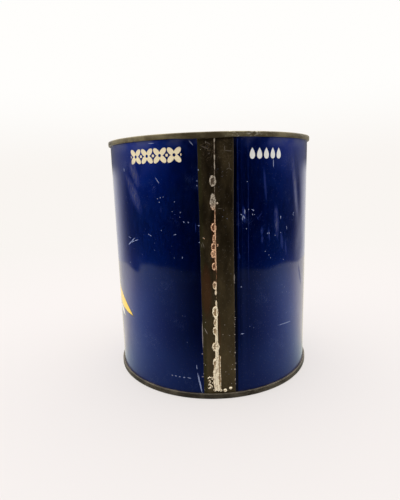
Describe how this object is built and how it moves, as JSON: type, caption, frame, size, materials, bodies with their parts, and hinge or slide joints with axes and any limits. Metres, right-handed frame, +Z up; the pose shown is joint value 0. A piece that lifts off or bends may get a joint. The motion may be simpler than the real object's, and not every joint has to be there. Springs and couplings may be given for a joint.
{
  "type": "milk powder tin",
  "caption": "Cylindrical lacquered tinplate can with a soldered side seam, double-seamed ends and a press-in lever lid, for storing milk powder.",
  "frame": {"origin": "centre of the circle the tin stands on, at the lowest face of the bottom seam", "axes": "+Z up along the tin's axis; -Y towards the soldered side seam; +X to the right of someone who looks at that seam"},
  "size_m": [0.1292, 0.1292, 0.148],
  "materials": {
    "navy_lacquer": "glossy navy blue printed lacquer on tinplate, scratched and dented, with a bare tarnished strip along the side seam",
    "ring_tinplate": "tarnished olive-brown tinplate with rust specks",
    "lid_tinplate": "dull gold-grey tinplate, lightly tarnished",
    "base_tinplate": "dark tarnished tinplate",
    "solder": "old cream-grey solder, pinkish in the middle of the seam"
  },
  "bodies": {
    "root": {"can_body": "navy_lacquer", "top_ring": "ring_tinplate", "lever_lid": "lid_tinplate", "bottom_end": "base_tinplate", "solder_seam": "solder", "solder_drop_1": "solder", "solder_drop_2": "solder"}
  },
  "joints": []
}
